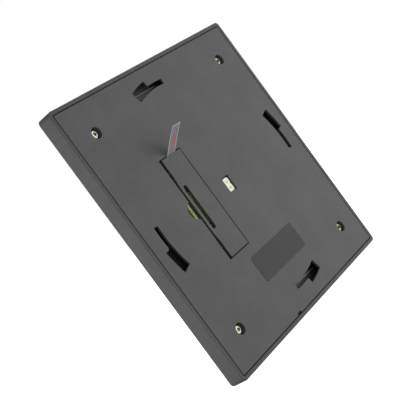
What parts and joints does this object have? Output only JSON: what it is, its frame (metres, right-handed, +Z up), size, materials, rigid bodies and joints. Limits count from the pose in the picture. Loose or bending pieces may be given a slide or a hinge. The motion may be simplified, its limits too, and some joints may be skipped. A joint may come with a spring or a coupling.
{
  "type": "digital photo frame",
  "caption": "Thin square picture frame seen from behind, with twist-lock slots, a latched battery door, a pull tab and a central power socket.",
  "frame": {"origin": "middle of the back face, the face that lies against the wall bracket, on the axis of the twist lock", "axes": "+Y straight out of the back towards the wall, +Z up, +X to the right seen from the picture side; the picture faces -Y"},
  "size_m": [0.19, 0.0278, 0.19],
  "materials": {
    "frame_grey": "fine moulded grain",
    "cover_grey": "fine moulded grain",
    "label_grey": "smooth satin label",
    "cover_glass": "polished",
    "black_adhesive": "matt black ring behind the glass",
    "picture_film": "paper-like reflective film",
    "panel_glass": "edge-ground display glass",
    "tray_metal": "black coated sheet",
    "screw_steel": "nickel plate",
    "ribbon_amber": "amber ribbon",
    "board_green": "green board lacquer",
    "chip_black": "moulded package",
    "shield_steel": "drawn can",
    "small_parts": "ceramic parts with tinned ends",
    "socket_cream": "natural nylon",
    "contact_gold": "plated spring strip",
    "holder_black": "moulded holder",
    "cell_steel": "pressed steel can",
    "clear_film": "clear film with a red printed mark"
  },
  "bodies": {
    "housing": {"front_frame": "frame_grey", "front_glass": "cover_glass", "glass_gasket": "black_adhesive", "display_film": "picture_film", "display_backplane": "panel_glass", "panel_tray": "tray_metal", "tray_screws": "screw_steel", "display_flex": "ribbon_amber", "flex_connector": "chip_black", "main_board": "board_green", "board_screws": "screw_steel", "controller_chip": "chip_black", "memory_chip": "chip_black", "radio_module": "shield_steel", "board_passives": "small_parts", "power_socket_body": "socket_cream", "power_socket_contacts": "contact_gold", "cell_holder_upper": "holder_black", "cell_holder_lower": "holder_black", "coin_cell_upper": "cell_steel", "coin_cell_lower": "cell_steel", "positive_contacts": "contact_gold", "negative_contacts": "contact_gold", "back_cover": "cover_grey", "cover_screws": "screw_steel", "rating_label": "label_grey"},
    "door": {"battery_door": "cover_grey"},
    "latch": {"door_latch": "cover_grey"},
    "film": {"pull_tab": "clear_film"}
  },
  "joints": [
    {"name": "door_hinge", "type": "hinge", "parent": "housing", "child": "door", "pos_m": [0.01895, 0, 0], "axis": [0, 0, 1], "range_deg": [0, 70]},
    {"name": "latch_press", "type": "slide", "parent": "door", "child": "latch", "axis": [-1, 0, 0], "range_m": [0, 0.0009], "stiffness_N_per_m": 9000},
    {"name": "tab_pull", "type": "slide", "parent": "housing", "child": "film", "axis": [0, 0.807, 0.5906], "range_m": [0, 0.005]}
  ]
}
